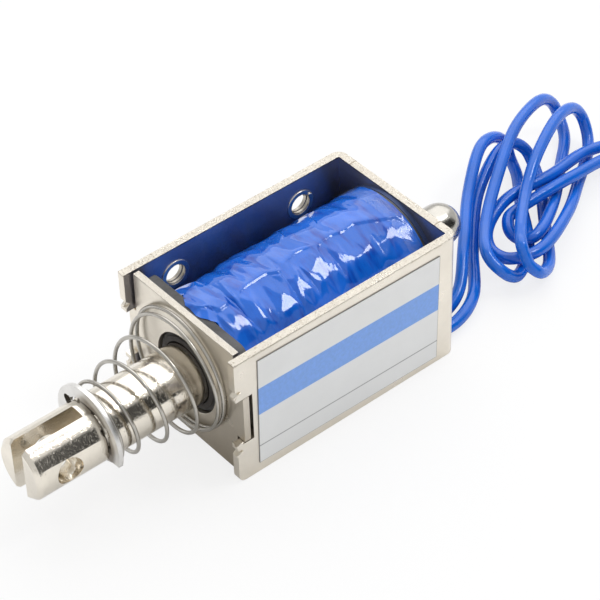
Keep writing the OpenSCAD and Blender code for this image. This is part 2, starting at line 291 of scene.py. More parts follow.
class Graph:
    """Short forms for building a node tree."""

    def __init__(self, tree):
        self.nodes = tree.nodes
        self.links = tree.links
        self.surface = None

    def put(self, socket, value):
        if isinstance(value, bpy.types.NodeSocket):
            self.links.new(value, socket)
        else:
            if socket.type == "RGBA" and len(value) == 3:
                value = (*value, 1)
            socket.default_value = value

    def fill(self, node, values):
        """Set or link a node's inputs by name, with a low line for each space."""
        for name, value in values.items():
            self.put(node.inputs[name.replace("_", " ")], value)
        return node

    def add(self, kind, **values):
        return self.fill(self.nodes.new(kind), values)

    def dress(self, **values):
        """Set or link the inputs of the material's own shader."""
        self.fill(self.surface, values)

    def coords(self):
        return self.add("ShaderNodeTexCoord").outputs["Object"]

    def mapped(self, vector, scale=(1, 1, 1), location=(0, 0, 0), rotation=(0, 0, 0)):
        node = self.add("ShaderNodeMapping", Vector=vector, Scale=scale, Location=location,
                        Rotation=rotation)
        return node.outputs["Vector"]

    def noise(self, vector, scale, detail=2.0, roughness=0.5):
        node = self.add("ShaderNodeTexNoise", Vector=vector, Scale=scale, Detail=detail,
                        Roughness=roughness)
        return node.outputs["Fac"]

    def math(self, operation, a, b=0.0):
        node = self.add("ShaderNodeMath")
        node.operation = operation
        self.put(node.inputs[0], a)
        self.put(node.inputs[1], b)
        return node.outputs[0]

    def times(self, value, *others):
        for other in others:
            value = self.math("MULTIPLY", value, other)
        return value

    def plus(self, a, b):
        return self.math("ADD", a, b)

    def minus(self, a, b):
        return self.math("SUBTRACT", a, b)

    def larger(self, a, b):
        return self.math("MAXIMUM", a, b)

    def gap(self, value, level):
        """How far a value is from a level."""
        return self.math("ABSOLUTE", self.minus(value, level))

    def remap(self, value, low, high, out_low=0.0, out_high=1.0, smooth=False):
        node = self.add("ShaderNodeMapRange", Value=value, From_Min=low, From_Max=high,
                        To_Min=out_low, To_Max=out_high)
        node.interpolation_type = "SMOOTHSTEP" if smooth else "LINEAR"
        return node.outputs["Result"]

    def blend(self, factor, a, b):
        node = self.add("ShaderNodeMix")
        node.data_type = "RGBA"
        self.put(node.inputs[0], factor)
        self.put(node.inputs[6], a)
        self.put(node.inputs[7], b)
        return node.outputs[2]

    def split(self, vector):
        return self.add("ShaderNodeSeparateXYZ", Vector=vector).outputs

    def bump(self, height, distance):
        node = self.add("ShaderNodeBump", Height=height, Distance=distance, Strength=1.0)
        return node.outputs["Normal"]

    def use(self, group, **values):
        node = self.add("ShaderNodeGroup")
        node.node_tree = group
        return self.fill(node, values)

    def grain(self, vector, grain_scale=9000.0, stain_scale=350.0):
        """The fine grain and the soft stains of a surface."""
        node = self.use(grain_group(), Vector=vector, Grain_Scale=grain_scale,
                        Stain_Scale=stain_scale)
        return node.outputs["Grain"], node.outputs["Stain"]

    def shear(self, vector, level):
        """The torn streaks of a sheared edge, and where that edge is."""
        node = self.use(shear_group(), Vector=vector, Level=level)
        return node.outputs["Streaks"], node.outputs["Mask"]

    def stained(self, stain, colour, share, high=0.7):
        """A colour that is darker by a share where the stains lie."""
        return self.blend(self.remap(stain, 0.35, high), colour, shaded(colour, share))

    def seen_as(self, plain, seen, share):
        """One shader for the light on the part, with a share of another for the camera."""
        path = self.add("ShaderNodeLightPath")
        mix = self.add("ShaderNodeMixShader")
        self.put(mix.inputs[0], self.times(path.outputs["Is Camera Ray"], share))
        self.put(mix.inputs[1], plain.outputs[0])
        self.put(mix.inputs[2], seen.outputs[0])
        return mix.outputs[0]


def shared_group(name, values, outputs, build):
    """A node group that takes a vector and named numbers, made when it is first asked for."""
    tree = bpy.data.node_groups.get(name)
    if tree:
        return tree
    tree = bpy.data.node_groups.new(name, "ShaderNodeTree")
    tree.interface.new_socket(name="Vector", in_out="INPUT", socket_type="NodeSocketVector")
    for label, value in values.items():
        socket = tree.interface.new_socket(name=label, in_out="INPUT", socket_type="NodeSocketFloat")
        socket.default_value = value
    for label in outputs:
        tree.interface.new_socket(name=label, in_out="OUTPUT", socket_type="NodeSocketFloat")
    g = Graph(tree)
    start = g.add("NodeGroupInput").outputs
    end = g.add("NodeGroupOutput").inputs
    for label, result in zip(outputs, build(g, start)):
        g.put(end[label], result)
    return tree


def grain_group():
    """Fine grain and soft stains, for plated and moulded surfaces."""
    def build(g, start):
        return (g.noise(start["Vector"], start["Grain Scale"], 3),
                g.noise(start["Vector"], start["Stain Scale"], 4, 0.6))
    return shared_group("Grain", {"Grain Scale": 9000.0, "Stain Scale": 350.0},
                        ("Grain", "Stain"), build)


def shear_group():
    """Torn streaks across a sheared sheet edge, masked to the part above a level."""
    def build(g, start):
        above = g.minus(g.split(start["Vector"])[2], start["Level"])
        return (g.noise(g.mapped(start["Vector"], (1, 1, 0.02)), 5200, 4, 0.65),
                g.remap(above, -0.00012, -0.00002))
    return shared_group("Sheared edge", {"Level": 0.0164}, ("Streaks", "Mask"), build)


def start_material(name, **values):
    """A new material with constants on its shader, and the graph of its nodes."""
    material = bpy.data.materials.new(name)
    material.use_nodes = True
    g = Graph(material.node_tree)
    g.surface = g.nodes["Principled BSDF"]
    g.dress(**values)
    return material, g


def grained_material(name, colour, share, scales, rough, depth, **values):
    """A material that soft stains darken and roughen, under a fine grain."""
    material, g = start_material(name, **values)
    grain, stain = g.grain(g.coords(), *scales)
    g.dress(Base_Color=g.stained(stain, colour, share, 0.65),
            Roughness=g.remap(stain, 0.3, 0.7, *rough),
            Normal=g.bump(grain, depth))
    return material


def speckled_material(name, pattern, colours, stretch=None, rough=None, depth=None, **values):
    """A material that one noise colours, roughens and makes uneven."""
    material, g = start_material(name, **values)
    vector = g.mapped(g.coords(), stretch) if stretch else g.coords()
    speck = g.noise(vector, *pattern)
    g.dress(Base_Color=g.blend(speck, *colours))
    if rough:
        g.dress(Roughness=g.remap(speck, 0.3, 0.7, *rough))
    if depth:
        g.dress(Normal=g.bump(speck, depth))
    return material


def dress_node(node, material):
    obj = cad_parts[node]
    obj.data.materials.clear()
    obj.data.materials.append(material)



# ---------------------------------------------------------------- stage

class SOLENOID_OT_stage(bpy.types.Operator):
    """Set the camera, the lamps, the room and the table"""
    bl_idname = "solenoid.stage"
    bl_label = "Stage"

    # the camera's turn, height and roll in degrees, and its lens
    TURN, HEIGHT, ROLL = 51.12177, 42.32210, -1.82845
    LENS, SENSOR = 147.3188, 36
    # how far it stands back, across and up, in millimetres
    BACK, ACROSS, UP = 263.7787, 0.730996, 7.293999
    # each lamp's name, its place from the part's middle and its size, in metres
    LAMPS = (("overhead_panel", (-0.29, 0.325, 0.548), (0.92, 0.75)),
             ("bright_lamp", (0.21, 0.325, 0.583), (0.15, 0.15)))
    # where the room's dark corner fades in, along each part of a direction
    DARK_CORNER = ((0.30, 0.60), (0.10, 0.40), (0.78, 0.65))
    # how bright the room is in front of the part, beside the room behind it
    FRONT_SHARE = 0.82
    # how much of the table the camera sees as plain white
    TABLE_GLOW = 0.78
    # just under the part, so that nothing lies in the table's plane
    TABLE_LEVEL = -0.00004

    def execute(self, context):
        s = context.scene.solenoid_stage
        self.camera(context)
        self.room(context, s)
        self.table(context, s)
        centre = Vector((0, 0, 8 * MM))
        for (name, place, size), radiance in zip(self.LAMPS, (s.panel_strength, s.lamp_strength)):
            self.lamp(name, centre + Vector(place), centre, size, radiance)
        context.scene.view_settings.view_transform = "Standard"
        return {"FINISHED"}

    def camera(self, context):
        azimuth, elevation, roll = (math.radians(a) for a in (self.TURN, self.HEIGHT, self.ROLL))
        back = Vector((math.sin(azimuth) * math.cos(elevation),
                       -math.cos(azimuth) * math.cos(elevation), math.sin(elevation)))
        right = (-back).cross(Vector((0, 0, 1))).normalized()
        up = right.cross(-back)
        across = right * math.cos(roll) + up * math.sin(roll)
        upward = up * math.cos(roll) - right * math.sin(roll)
        place = (back * self.BACK + across * self.ACROSS + upward * self.UP) * MM
        data = bpy.data.cameras.new("camera")
        data.sensor_width = self.SENSOR
        data.lens = self.LENS
        data.clip_start = 0.01
        data.clip_end = 20
        camera = bpy.data.objects.new("camera", data)
        turned = Matrix((across, upward, back)).transposed().to_4x4()
        camera.matrix_world = Matrix.Translation(place) @ turned
        context.collection.objects.link(camera)
        context.scene.camera = camera

    def lamp(self, name, place, target, size, radiance):
        data = bpy.data.lights.new(name, "AREA")
        data.shape = "RECTANGLE"
        data.size, data.size_y = size
        data.energy = radiance * size[0] * size[1] * math.pi
        lamp = bpy.data.objects.new(name, data)
        lamp.location = place
        lamp.rotation_euler = (target - place).to_track_quat("-Z", "Y").to_euler()
        bpy.context.collection.objects.link(lamp)

    def room(self, context, s):
        """A bright room with one dark corner, which the camera itself sees as white."""
        world = bpy.data.worlds.new("room")
        context.scene.world = world
        world.use_nodes = True
        g = Graph(world.node_tree)
        g.nodes.clear()
        direction = g.split(g.add("ShaderNodeTexCoord").outputs["Generated"])
        dark = g.times(*(g.remap(part, *fade, smooth=True)
                         for part, fade in zip(direction, self.DARK_CORNER)))
        bright = g.blend(g.remap(direction[1], -0.5, 0.3, smooth=True),
                         [s.surround * self.FRONT_SHARE] * 3, [s.surround] * 3)
        plain = g.add("ShaderNodeBackground", Color=g.blend(dark, bright, [s.dark_side] * 3))
        white = g.add("ShaderNodeBackground", Color=(1, 1, 1))
        g.add("ShaderNodeOutputWorld", Surface=g.seen_as(plain, white, 1.0))

    def table(self, context, s):
        deselect_all()
        bpy.ops.mesh.primitive_grid_add(x_subdivisions=2, y_subdivisions=2, size=6,
                                        location=(0, 0, self.TABLE_LEVEL))
        table = context.active_object
        table.name = "table"
        settle(table)
        material, g = start_material("Table", Roughness=0.9, Base_Color=tuple(s.table),
                                     Specular_IOR_Level=0.1)
        glow = g.add("ShaderNodeEmission")
        out = g.nodes["Material Output"]
        g.put(out.inputs["Surface"], g.seen_as(g.surface, glow, self.TABLE_GLOW))
        table.data.materials.append(material)


# ---------------------------------------------------------------- leads

class SOLENOID_OT_leads(bpy.types.Operator):
    """Lay the two leads along their routes and finish their tinned ends"""
    bl_idname = "solenoid.leads"
    bl_label = "Leads"

    def execute(self, context):
        s = context.scene.solenoid_leads
        skin = self.skin(s)
        tin = self.tinned()
        for name, route, length in (("lead_a", LEAD_A, 0.1689), ("lead_b", LEAD_B, 0.1807)):
            line = [p * MM for p in smooth_route(route)]
            lead = wire_curve(name + "_wire", line, s.diameter / 2, 5)
            lead.data.materials.append(skin)
            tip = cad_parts[name.replace("lead", "lead_tip")]
            dress_node(tip.name, tin)
            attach(lead, "housing")
            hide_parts(name)
        return {"FINISHED"}

    def tinned(self):
        return speckled_material("Tinned strands", (9000, 2, 0.5),
                                 ((0.78, 0.76, 0.72), (0.60, 0.58, 0.54)),
                                 (1, 0.2, 1), (0.2, 0.4), 0.00003, Metallic=1.0)

    def skin(self, s):
        return grained_material("Lead skin", s.skin, 0.86, (6000.0, 260.0), (0.15, 0.24), 0.000004,
                                Specular_IOR_Level=0.60)


# ---------------------------------------------------------------- frame and plate

class SOLENOID_OT_frame(bpy.types.Operator):
    """Round the corners of the bent frame, give it nickel plate, torn edges and stake burrs"""
    bl_idname = "solenoid.frame"
    bl_label = "Frame"

    # burrs thrown up by the staking punch: rows of points in millimetres
    BURRS = (
        ((9.50, -14.35, 12.62), (9.52, -14.72, 12.45), (9.42, -15.02, 12.22), (9.25, -15.10, 11.95),
         (9.00, -15.02, 11.82)),
        ((9.50, -14.30, 5.62), (9.53, -14.70, 5.52), (9.45, -15.03, 5.30), (9.20, -15.08, 5.14),
         (8.85, -15.00, 5.12)),
        ((9.50, -14.42, 4.42), (9.54, -14.80, 4.22), (9.44, -15.06, 3.98), (9.22, -15.08, 3.72)),
        ((-8.60, -14.95, 12.66), (-8.72, -15.08, 12.40), (-9.00, -15.10, 12.10), (-9.30, -15.02, 11.95)),
        ((-8.55, -14.98, 4.50), (-8.75, -15.08, 4.20), (-9.05, -15.08, 3.95), (-9.35, -15.0, 3.88)),
        ((-8.42, 9.55, 13.62), (-8.30, 9.72, 13.78), (-8.26, 9.90, 13.70), (-8.40, 9.98, 13.50)),
    )
    # the two tapped holes in the far wall: (along, up), radius and pitch in millimetres
    HOLES = ((-8.5, 12.9), (8.5, 12.9))
    HOLE_RADIUS, PITCH = 1.25, 0.45
    # the thread's crest: where it starts, how deep it runs and how thick it is, in millimetres
    THREAD_START, THREAD_DEPTH, CREST, THREAD_STEPS = 0.05, 0.86, 0.10, 48
    # how near a face has to be to the inside of the sheet
    NEAR = 0.05 * MM
    # how far along x the two seams of the rear wall are
    SEAM = 0.0067
    # how far below the top the painted shadow line of the upper rim lies
    RIM_DROP = 0.00015

    def execute(self, context):
        s = context.scene.solenoid_metal
        obj = copy_of("frame", "frame_shell")
        self.round_front_corners(obj)
        round_edges(obj, s.edge_round)
        plate = self.plate("Frame plate", s.nickel, 0.26, 0.38)
        # painted shade: a darker copy of the plate for the inner faces
        inside = self.plate("Frame inside", s.inside, 0.34, 0.46)
        # painted shade: nickel darkened to 0.55 for the bores and the thread crests in them
        bore = self.plate("Frame bore", shaded(s.nickel, 0.55), 0.30, 0.45)
        for material in (plate, inside, bore):
            obj.data.materials.append(material)
        self.share_faces(obj)
        for number, hole in enumerate(self.HOLES):
            self.thread(number, hole, bore)
        for number, row in enumerate(self.BURRS):
            self.burr(number, row, plate)
        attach(obj, "housing")
        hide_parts("frame")
        return {"FINISHED"}

    def share_faces(self, obj):
        """Give the inner faces and the two bores their own darker materials, which are painted shade."""
        inner_x, inner_y = FRAME_HIGH.x - SHEET, FRAME_HIGH.y - SHEET
        near = self.NEAR
        for face in obj.data.polygons:
            c, n = face.center, face.normal
            side = abs(abs(c.x) - inner_x) < near and n.x * c.x < 0 and abs(n.x) > 0.9
            rear = abs(c.y - inner_y) < near and n.y < -0.9
            bend = inner_y - 1.0 * MM < c.y < inner_y and n.y < -0.1 and n.x * c.x < 0
            if c.y > PLATE_HIGH.y and (side or rear or (bend and abs(n.z) < 0.2)):
                face.material_index = 1
            for along, up in self.HOLES:
                reach = math.hypot(c.y - along * MM, c.z - up * MM)
                if reach < (self.HOLE_RADIUS + 0.02) * MM and abs(n.x) < 0.5:
                    face.material_index = 2

    def burr(self, number, row, material):
        """A burr that is thicker in its middle."""
        line = [p * MM for p in smooth_route(row, 5)]
        burr = wire_curve(f"burr_{number}", line, 0.12 * MM, 2)
        for i, point in enumerate(burr.data.splines[0].points):
            along = i / (len(line) - 1)
            point.radius = 0.45 + 0.75 * math.sin(math.pi * along) + 0.25 * math.sin(9 * along)
        curve_to_mesh(burr)
        burr.data.materials.append(material)
        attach(burr, "housing")

    def thread(self, number, hole, material):
        """The crest of the thread cut in one tapped hole."""
        along, up = hole
        turns = self.THREAD_DEPTH / self.PITCH
        steps = self.THREAD_STEPS
        start = FRAME_LOW.x / MM + self.THREAD_START
        line = []
        for i in range(steps + 1):
            turn = 2 * math.pi * turns * i / steps
            line.append(Vector((start + self.THREAD_DEPTH * i / steps,
                                along + self.HOLE_RADIUS * math.cos(turn),
                                up + self.HOLE_RADIUS * math.sin(turn))) * MM)
        crest = curve_to_mesh(wire_curve(f"thread_crest_{number}", line, self.CREST * MM, 2))
        crest.data.materials.append(material)
        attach(crest, "housing")

    def round_front_corners(self, obj):
        mesh = obj.data
        make_active(obj)
        bpy.ops.object.mode_set(mode="EDIT")
        bpy.ops.mesh.select_mode(type="EDGE")
        bpy.ops.mesh.select_all(action="DESELECT")
        bpy.ops.object.mode_set(mode="OBJECT")
        for edge in mesh.edges:
            ends = [mesh.vertices[i].co for i in edge.vertices]
            if all(abs(v.y - FRAME_LOW.y) < 2e-5 and abs(v.z) < 2e-5 for v in ends):
                edge.select = True
        bpy.ops.object.mode_set(mode="EDIT")
        bpy.ops.mesh.bevel(offset=0.85 * MM, segments=5, affect="EDGES")
        bpy.ops.object.mode_set(mode="OBJECT")

    def plate(self, name, colour, low, high):
        material, g = start_material(name, Metallic=1.0)
        vector = g.coords()
        x, y, z = g.split(vector)
        grain, stain = g.grain(vector, 4200.0, 280.0)
        streaks, top = g.shear(vector, FRAME_HIGH.z)
        # brown marks in the torn streaks, the dark seams of the rear wall, and a painted shadow line
        # along the upper rim that is broken in places
        pits = g.times(g.remap(streaks, 0.54, 0.66), top)
        # painted shade: a dark line just below the top, along the upper rim
        rim = g.remap(g.gap(z, FRAME_HIGH.z - self.RIM_DROP), 0.00011, 0.00003)
        worn = g.remap(g.noise(vector, 900, 3, 0.6), 0.40, 0.62)
        seam = g.remap(g.gap(g.math("ABSOLUTE", x), self.SEAM), 0.00009, 0.00003)
        seam = g.times(seam, g.remap(y, 0.01395, 0.01405), top)
        marks_and_shade = g.larger(g.larger(g.times(pits, 0.75), g.times(rim, worn, 0.6)), seam)
        brown = shaded(colour, 0.52, 0.46, 0.38)
        height = g.plus(g.times(streaks, 44.0, top), g.times(grain, 2.2))
        g.dress(Base_Color=g.blend(marks_and_shade, g.stained(stain, colour, 0.93), brown),
                Roughness=g.remap(stain, 0.3, 0.7, low, high),
                Normal=g.bump(height, 0.000004))
        return material


class SOLENOID_OT_front_plate(bpy.types.Operator):
    """Finish the plate that closes the front of the frame"""
    bl_idname = "solenoid.front_plate"
    bl_label = "Front plate"

    def execute(self, context):
        s = context.scene.solenoid_metal
        obj = copy_of("front_plate", "front_plate_shell")
        round_edges(obj, s.edge_round)
        obj.data.materials.append(self.plating(s))
        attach(obj, "housing")
        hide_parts("front_plate")
        return {"FINISHED"}

    def plating(self, s):
        """Nickel with painted shade that darkens it towards the plate's lower right."""
        material, g = start_material("Front plate", Metallic=1.0)
        vector = g.coords()
        x, y, z = g.split(vector)
        stain = g.grain(vector, 5000.0, 220.0)[1]
        streaks, top = g.shear(vector, PLATE_HIGH.z)
        # painted shade: blends the nickel towards brown, darker towards the plate's lower right
        painted_shade = g.remap(g.minus(x, g.times(z, 0.8)), -0.005, 0.009, smooth=True)
        brown = shaded(s.nickel, 0.44, 0.40, 0.35)
        brush = g.noise(g.mapped(vector, (1, 1, 0.03)), 6000, 3, 0.6)
        height = g.plus(g.times(streaks, 48.0, top), g.times(brush, 1.2))
        g.dress(Base_Color=g.blend(g.times(painted_shade, 0.85), g.stained(stain, s.nickel, 0.90), brown),
                Roughness=g.remap(stain, 0.3, 0.7, 0.26, 0.42),
                Normal=g.bump(height, 0.000004))
        return material


# ---------------------------------------------------------------- coil

class SOLENOID_OT_tape_wrap(bpy.types.Operator):
    """Wrap the coil in creased tape"""
    bl_idname = "solenoid.tape_wrap"
    bl_label = "Tape wrap"

    # flat spots of the tape: the way each faces, in degrees from the top, and its corners
    # as (place along the coil in millimetres, degrees from the top)
    FLATS = (
        (24, ((-11.6, 6), (-11.1, 5), (-11.0, 14), (-11.4, 19))),
        (30, ((-11.0, 20), (-10.5, 27), (-9.7, 20), (-8.75, 24), (-8.6, 37), (-9.5, 34), (-10.8, 35))),
        (24, ((-8.4, 8), (-8.0, 11), (-8.1, 23), (-8.45, 20))),
        (30, ((-7.05, 19), (-6.75, 29), (-6.85, 37), (-7.35, 35), (-7.2, 27))),
        (30, ((-4.1, 25), (-3.75, 24), (-3.2, 31), (-2.75, 40), (-3.5, 38), (-5.3, 38.5), (-4.3, 35.5),
              (-3.75, 33))),
        (24, ((-2.9, 12), (-2.55, 13), (-2.65, 21), (-3.0, 19))),
        (23, ((-2.0, 8), (-1.5, 5), (-1.3, 12), (-1.7, 15))),
        (30, ((-2.2, 34), (-1.7, 21), (-1.15, 18), (-0.8, 27), (-0.6, 34), (-1.5, 31), (-2.0, 38))),
        (30, ((0.0, 21), (0.35, 21), (0.95, 30), (0.75, 33), (0.2, 29))),
        (30, ((1.85, 14), (2.35, 14), (2.5, 22), (1.95, 31), (1.1, 33.5), (1.2, 29), (1.8, 24))),
        (30, ((2.9, 26), (3.15, 25), (3.1, 33), (2.8, 32))),
        (30, ((3.9, 24), (4.15, 19), (4.6, 20), (5.1, 25), (6.0, 29), (6.9, 29), (6.9, 31),
              (5.0, 32), (4.2, 31))),
        (30, ((7.3, 27), (7.9, 25.5), (7.9, 31), (7.4, 31))),
        (30, ((10.1, 28), (10.7, 23), (11.2, 23), (11.6, 27), (13.0, 28), (13.0, 31), (10.7, 32),
              (10.2, 31))),
    )
    # folds: rows of (place along the coil, degrees from the top, radius)
    FOLDS = (
        ((-7.7, -88, 7.85), (-8.2, -66, 7.78), (-8.7, -40, 7.74), (-8.85, -18, 7.72),
         (-8.75, 2, 7.74), (-8.55, 30, 7.80), (-7.9, 44, 7.85)),
        ((-5.0, -85, 7.90), (-5.5, -60, 7.80), (-5.9, -38, 7.76), (-5.7, -20, 7.86)),
        ((-6.2, 16, 7.80), (-6.1, 30, 7.80), (-6.3, 42, 7.86)),
        ((-2.4, 17, 7.84), (-2.5, 30, 7.80), (-2.5, 44, 7.84)),
        ((-0.25, 12, 7.86), (-0.2, 27, 7.80), (-0.1, 42, 7.84)),
        ((3.5, 14, 7.88), (3.5, 27, 7.82), (3.4, 42, 7.86)),
        ((8.7, 16, 7.90), (8.8, 30, 7.84), (8.7, 43, 7.88)),
        ((-4.3, -30, 8.12), (-4.6, -12, 8.10)),
        ((-1.3, -52, 8.14), (-1.8, -30, 8.12), (-2.0, -14, 8.10)),
        ((0.9, -60, 8.14), (0.3, -36, 8.12), (-0.2, -20, 8.14)),
        ((4.6, -66, 8.14), (3.9, -40, 8.14), (3.4, -14, 8.12)),
        ((7.4, -62, 8.12), (7.9, -38, 8.14), (8.2, -12, 8.13)),
        ((10.8, -58, 8.13), (10.4, -30, 8.12), (9.4, -8, 8.10)),
    )
    # sharp creases: rows of (place along the coil, degrees from the top), each a small step down
    CREASES = (
        ((-12.0, -1), (-11.6, 2.5), (-11.1, 8), (-10.5, 11), (-9.3, 10)),
        ((-7.3, 6), (-6.2, 4.5), (-5.0, 4), (-3.6, 4), (-2.5, 8.5)),
        ((-0.8, 3), (0.4, 1), (1.6, 1.5)),
        ((2.9, 5.5), (3.8, 4)),
        ((5.2, 3.0), (6.4, 5.5), (8.0, 4), (9.0, 7), (10.0, 10)),
        ((10.6, 12), (12.4, 17.5)),
        ((-10.0, -22), (-9.2, -30)),
        ((1.8, -24), (2.6, -38), (3.0, -52)),
        ((5.6, -18), (6.2, -34), (7.2, -48)),
    )
    # each crease: how many degrees lower its foot lies, and the radius of its brow and its foot
    STEP = ((0, 8.17), (3.2, 7.96))
    # in millimetres from here on. Places along the coil: the tape's two ends, the front flange,
    # where the last turn begins, and the rear flange
    FRONT, REAR, FLANGE, LAST_TURN, REAR_FLANGE = -12.75, 13.70, -11.74, 12.2, 12.9
    # radii: the coil as laid out flat, the tape, its flats, its front end, its last turn, the
    # flange's rim, and the inside of the tape at the front and at the rear
    COIL, TAPE, FLAT, FRONT_END, LAST, RIM, INSIDE, UNDER = 8, 8.0, 7.97, 7.85, 8.12, 7.61, 7.70, 8.03
    # the tape is laid out this much narrower than it is, which draws its facets out round the coil
    STRETCH = 0.45
    # the radius where two folds cross
    CROSSING = 7.95
    # how much fuller the far side is, apart from the fold there
    SIDE_LIFT, SIDE_FOLD = 0.10, (-9.6, -7.2)
    # how many corners are tried, how far apart they stay, and from how many degrees on the near
    # side the film is calmer
    TRIES, APART, CALM = 14000, 0.95, 33
    # the height of the fine ripples
    RIPPLE = 0.018
    # in degrees: how far the lip on the front flange reaches to both sides and what it tapers
    # over, and where the overhang at the rear begins and ends on the far side and what it tapers over
    LIP, LIP_TAPER, OVER_FROM, OVER_TO, OVER_TAPER = 22, 14, 5, 150, 30

    def execute(self, context):
        s = context.scene.solenoid_tape
        obj = self.film_mesh(s)
        obj.data.materials.append(self.tape(s))
        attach(obj, "housing")
        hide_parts("tape_wrap")
        return {"FINISHED"}

    def flat_place(self, along, degrees):
        """Where a spot of the tape lies when it is laid out flat."""
        return along, math.radians(degrees) * self.COIL * self.STRETCH

    def spots(self, rng, scatter):
        """Corners of the creased film as (along, degrees, radius) and the folds that join them."""
        spots, folds = [], []

        def chain(row):
            """Add a row of corners that one fold joins."""
            first = len(spots)
            spots.extend(row)
            folds.extend((first + i, first + i + 1) for i in range(len(row) - 1))

        for facing, corners in self.FLATS:
            middle = sum(c[1] for c in corners) / len(corners)
            reach = self.FLAT * math.cos(math.radians(middle - facing))
            first = len(spots)
            chain([(min(along, self.REAR - 0.3), degrees,
                    reach / math.cos(math.radians(degrees - facing))) for along, degrees in corners])
            folds.append((len(spots) - 1, first))
        for row in self.FOLDS:
            chain(row)
        for row in self.CREASES:
            for lower, radius in self.STEP:
                chain([(along, degrees + lower, radius) for along, degrees in row])
        # the two ends, and the seam underneath
        for degrees in range(-180, 181, 5):
            spots.append((self.FRONT, degrees, self.FRONT_END))
        for degrees in range(-180, 181, 9):
            spots.append((self.REAR, degrees, self.LAST))
        for along in np.linspace(self.FRONT, self.REAR, 22)[1:-1]:
            radius = self.TAPE + rng.uniform(-scatter, scatter)
            spots.append((along, -180, radius))
            spots.append((along, 180, radius))
        self.scatter_spots(spots, rng, scatter)
        return spots, folds

    def scatter_spots(self, spots, rng, scatter):
        """Add loose corners wherever there is room between the others."""
        taken = [self.flat_place(*spot[:2]) for spot in spots]
        apart = self.APART
        flats = [corners for _, corners in self.FLATS]
        for _ in range(self.TRIES):
            along = rng.uniform(self.FRONT + 0.5, self.REAR - 0.5)
            degrees = rng.uniform(-177, 177)
            if abs(degrees) > 10 and along < self.FLANGE + 0.3:
                continue
            here = self.flat_place(along, degrees)
            if any(abs(here[0] - t[0]) < apart and math.dist(here, t) < apart for t in taken):
                continue
            if any(self.inside((along, degrees), corners) for corners in flats):
                continue
            taken.append(here)
            radius = self.TAPE + rng.normal(0, 0.62) * scatter * (0.4 if degrees > self.CALM else 1)
            if along > self.LAST_TURN:
                radius = self.LAST + rng.uniform(-0.02, 0.04)
            elif -100 < degrees < -45 and not self.SIDE_FOLD[0] < along < self.SIDE_FOLD[1]:
                radius += self.SIDE_LIFT
            spots.append((along, degrees, radius))

    def inside(self, spot, corners):
        hit = False
        for i, (ya, da) in enumerate(corners):
            yb, db = corners[i - 1]
            if (da > spot[1]) != (db > spot[1]):
                if spot[0] < (yb - ya) * (spot[1] - da) / (db - da) + ya:
                    hit = not hit
        return hit

    def film_mesh(self, s):
        rng = np.random.default_rng(5)
        spots, folds = self.spots(rng, s.crease / MM)
        flat = [Vector(self.flat_place(*spot[:2])) for spot in spots]
        places, _, faces, sources = delaunay_2d_cdt(flat, folds, [], 0, 1e-5)[:4]
        shape = bmesh.new()
        verts = []
        for place, source in zip(places, sources):
            if source:
                along, degrees, radius = spots[source[0]]
            else:
                # a corner where two folds cross
                along, degrees = place.x, math.degrees(place.y / (self.COIL * self.STRETCH))
                radius = self.CROSSING
            verts.append(shape.verts.new(self.place(along, degrees, radius)))
        for face in faces:
            shape.faces.new([verts[i] for i in face])
        bmesh.ops.remove_doubles(shape, verts=shape.verts, dist=1e-6)
        mesh = bpy.data.meshes.new("tape_cover")
        shape.to_mesh(mesh)
        shape.free()
        obj = new_object("tape_cover", mesh)
        make_active(obj)
        bpy.ops.object.mode_set(mode="EDIT")
        bpy.ops.mesh.select_all(action="SELECT")
        bpy.ops.mesh.subdivide(number_cuts=6)
        bpy.ops.mesh.vertices_smooth(factor=0.5, repeat=3)
        bpy.ops.object.mode_set(mode="OBJECT")
        self.ripple(mesh, s)
        self.close_ends(mesh)
        settle(obj, 80)
        return obj

    def place(self, along, degrees, radius):
        angle = math.radians(degrees)
        if along < self.FLANGE:
            # the lip that lies on top of the flange, and tapers off to both sides
            lip = fade(self.LIP - abs(degrees), self.LIP_TAPER)
            lip = lip * lip * (3 - 2 * lip)
            along = self.FLANGE + (along - self.FLANGE) * lip + 0.10 * lip * math.sin(degrees * 0.9)
            if lip:
                radius = max(self.RIM / math.cos(angle), radius + 0.10 - 0.34 * (self.FLANGE - along))
        elif along > self.REAR_FLANGE:
            # the tape runs out over the rear flange, further on the far side
            reach = fade(-degrees - self.OVER_FROM, self.OVER_TAPER)
            reach *= fade(self.OVER_TO + degrees, self.OVER_TAPER)
            along = self.REAR_FLANGE + (along - self.REAR_FLANGE) * (0.45 + 0.55 * reach)
        return Vector((radius * math.sin(angle), along, AXIS_Z / MM + radius * math.cos(angle))) * MM

    def ripple(self, mesh, s):
        """Fine ripples of the film, and soft lumps of the winding below."""
        height = self.RIPPLE
        for vert in mesh.vertices:
            x, y, z = vert.co / MM
            out = Vector((x, 0, z - AXIS_Z / MM)).normalized()
            lump = noise.noise(Vector((x * 0.30, y * 0.42, z * 0.30)))
            fine = noise.noise(Vector((x * 0.9, y * 2.6, z * 0.9)))
            vert.co += out * MM * (lump * s.lump / MM * 0.5 + fine * height)

    def close_ends(self, mesh):
        """Turn both ends in and close the tube on its inside."""
        def from_axis(point):
            return Vector((point.x, 0, point.z - AXIS_Z))

